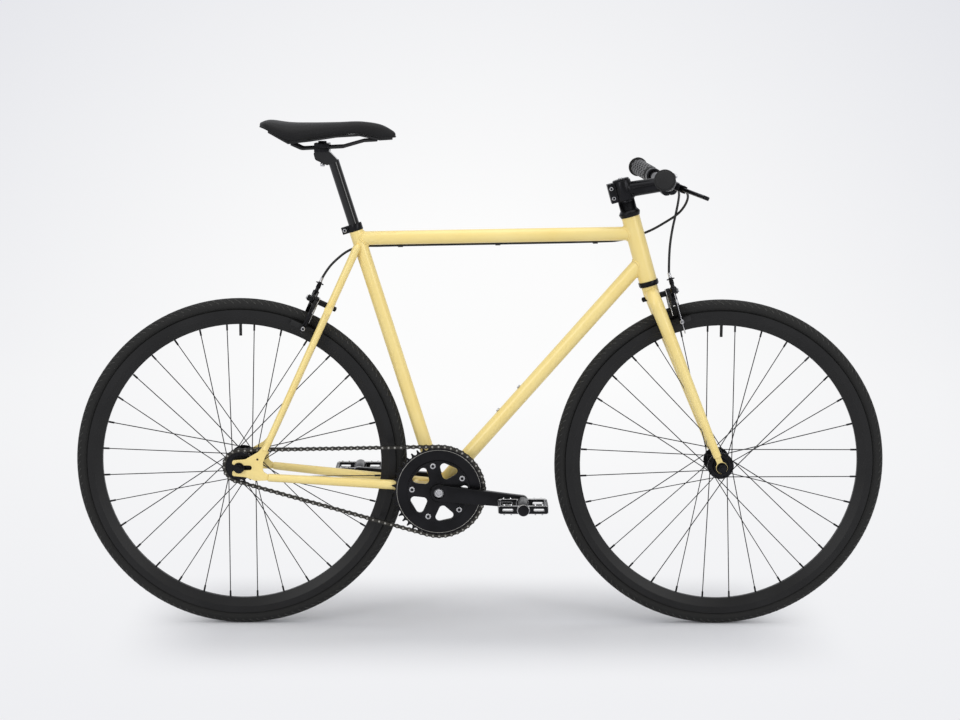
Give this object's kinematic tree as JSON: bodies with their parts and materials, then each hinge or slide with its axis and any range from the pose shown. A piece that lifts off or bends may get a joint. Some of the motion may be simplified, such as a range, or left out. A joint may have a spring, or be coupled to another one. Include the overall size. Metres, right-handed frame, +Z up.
{
  "type": "fixed gear bicycle",
  "caption": "Diamond-frame fixed gear bike with a swept flat bar, two caliper rim brakes, deep rims, chain drive and saddle on a straight seatpost.",
  "frame": {"origin": "on the ground, midway between the two axles, in the wheels' plane", "axes": "+X forward, +Y to the rider's left, +Z up"},
  "size_m": [1.659, 0.5838, 1.0382],
  "materials": {
    "yellow_paint": "gloss",
    "black_alloy": "satin anodised",
    "black_steel": "black plated",
    "bright_steel": "bright plated",
    "chain_steel": "oiled dark",
    "black_rubber": "matt",
    "tyre_rubber": "matt",
    "cable_housing": "satin",
    "saddle_shell": "matt",
    "saddle_skin": "matt synthetic"
  },
  "bodies": {
    "frame": {"head_tube": "yellow_paint", "top_tube": "yellow_paint", "down_tube": "yellow_paint", "seat_tube": "yellow_paint", "bottom_bracket_shell": "yellow_paint", "chainstays": "yellow_paint", "seatstays": "yellow_paint", "rear_dropouts": "yellow_paint", "headset_cups": "black_alloy", "bottom_bracket_cartridge": "black_steel", "seat_collar": "black_alloy", "bottle_cage_bolts": "bright_steel", "cable_clips": "cable_housing", "rear_brake_cable": "cable_housing", "rear_brake_bolt": "black_steel", "rear_axle": "black_steel", "chain": "chain_steel"},
    "steering": {"steerer_tube": "yellow_paint", "fork_legs": "yellow_paint", "headset_spacers": "black_alloy", "stem": "black_alloy", "stem_faceplate": "black_alloy", "stem_bolts": "bright_steel", "handlebar": "black_alloy", "grips": "black_rubber", "brake_lever_perches": "black_alloy", "front_brake_cable": "cable_housing", "front_brake_bolt": "black_steel", "front_axle": "black_steel"},
    "right_lever": {"right_brake_lever": "black_alloy"},
    "left_lever": {"left_brake_lever": "black_alloy"},
    "front_inner_arm": {"front_brake_inner_arm": "black_alloy", "front_brake_inner_pad": "black_rubber"},
    "front_outer_arm": {"front_brake_outer_arm": "black_alloy", "front_brake_outer_pad": "black_rubber"},
    "rear_inner_arm": {"rear_brake_inner_arm": "black_alloy", "rear_brake_inner_pad": "black_rubber"},
    "rear_outer_arm": {"rear_brake_outer_arm": "black_alloy", "rear_brake_outer_pad": "black_rubber"},
    "front_wheel": {"front_tyre": "tyre_rubber", "front_rim": "black_alloy", "front_spokes": "black_steel", "front_hub": "black_alloy"},
    "rear_wheel": {"rear_tyre": "tyre_rubber", "rear_rim": "black_alloy", "rear_spokes": "black_steel", "rear_hub": "black_alloy", "cog": "black_steel"},
    "crank": {"bottom_bracket_spindle": "bright_steel", "right_crank": "black_alloy", "chainring": "black_alloy", "chainring_bolts": "bright_steel", "left_crank": "black_alloy", "pedal_spindles": "black_steel"},
    "right_pedal_body": {"right_pedal": "black_alloy"},
    "left_pedal_body": {"left_pedal": "black_alloy"},
    "seat": {"seatpost": "black_alloy", "saddle_clamp": "black_steel", "saddle_base": "saddle_shell", "saddle_cover": "saddle_skin"}
  },
  "joints": [
    {"name": "steering_turn", "type": "hinge", "parent": "frame", "child": "steering", "pos_m": [0.45013, 0, 0.32742], "axis": [-0.2756, 0, 0.9613], "range_deg": [-60, 60], "deforming": ["rear_brake_cable"]},
    {"name": "front_wheel_spin", "type": "hinge", "parent": "steering", "child": "front_wheel", "pos_m": [0.4905, 0, 0.339], "axis": [0, 1, 0], "continuous": true},
    {"name": "rear_wheel_spin", "type": "hinge", "parent": "frame", "child": "rear_wheel", "pos_m": [-0.4905, 0, 0.339], "axis": [0, 1, 0], "continuous": true, "deforming": ["chain"]},
    {"name": "crank_spin", "type": "hinge", "parent": "frame", "child": "crank", "pos_m": [-0.0856, 0, 0.287], "axis": [0, 1, 0], "continuous": true},
    {"name": "right_pedal_spin", "type": "hinge", "parent": "crank", "child": "right_pedal_body", "pos_m": [0.0837, 0, 0.27159], "axis": [0, 1, 0], "continuous": true},
    {"name": "left_pedal_spin", "type": "hinge", "parent": "crank", "child": "left_pedal_body", "pos_m": [-0.2549, 0, 0.30241], "axis": [0, 1, 0], "continuous": true},
    {"name": "right_lever_pull", "type": "hinge", "parent": "steering", "child": "right_lever", "pos_m": [0.39005, -0.15362, 0.90986], "axis": [-0.3864, -0.0253, -0.922], "range_deg": [0, 20], "stiffness_Nm_per_rad": 0.6, "springref_deg": -17.19, "deforming": ["rear_brake_cable"]},
    {"name": "left_lever_pull", "type": "hinge", "parent": "steering", "child": "left_lever", "pos_m": [0.39005, 0.15362, 0.90986], "axis": [0.3864, -0.0253, 0.922], "range_deg": [0, 20], "stiffness_Nm_per_rad": 0.6, "springref_deg": -17.19, "deforming": ["front_brake_cable"]},
    {"name": "front_inner_arm_close", "type": "hinge", "parent": "steering", "child": "front_inner_arm", "pos_m": [0.37536, 0, 0.68975], "axis": [-0.9613, 0, -0.2756], "range_deg": [0, 2]},
    {"name": "front_outer_arm_close", "type": "hinge", "parent": "steering", "child": "front_outer_arm", "pos_m": [0.37536, 0, 0.68975], "axis": [0.9613, 0, 0.2756], "range_deg": [0, 2]},
    {"name": "rear_inner_arm_close", "type": "hinge", "parent": "frame", "child": "rear_inner_arm", "pos_m": [-0.33099, 0, 0.67021], "axis": [0.91, 0, -0.4145], "range_deg": [0, 2]},
    {"name": "rear_outer_arm_close", "type": "hinge", "parent": "frame", "child": "rear_outer_arm", "pos_m": [-0.33099, 0, 0.67021], "axis": [-0.91, 0, 0.4145], "range_deg": [0, 2]},
    {"name": "seatpost_slide", "type": "slide", "parent": "frame", "child": "seat", "axis": [-0.304, 0, 0.9527], "range_m": [-0.1, 0.08]}
  ],
  "couplings": [
    {"joint": "crank_spin", "follows": "rear_wheel_spin", "ratio": 0.34783},
    {"joint": "front_inner_arm_close", "follows": "left_lever_pull", "ratio": 0.1},
    {"joint": "front_outer_arm_close", "follows": "left_lever_pull", "ratio": 0.1},
    {"joint": "rear_inner_arm_close", "follows": "right_lever_pull", "ratio": 0.1},
    {"joint": "rear_outer_arm_close", "follows": "right_lever_pull", "ratio": 0.1}
  ]
}
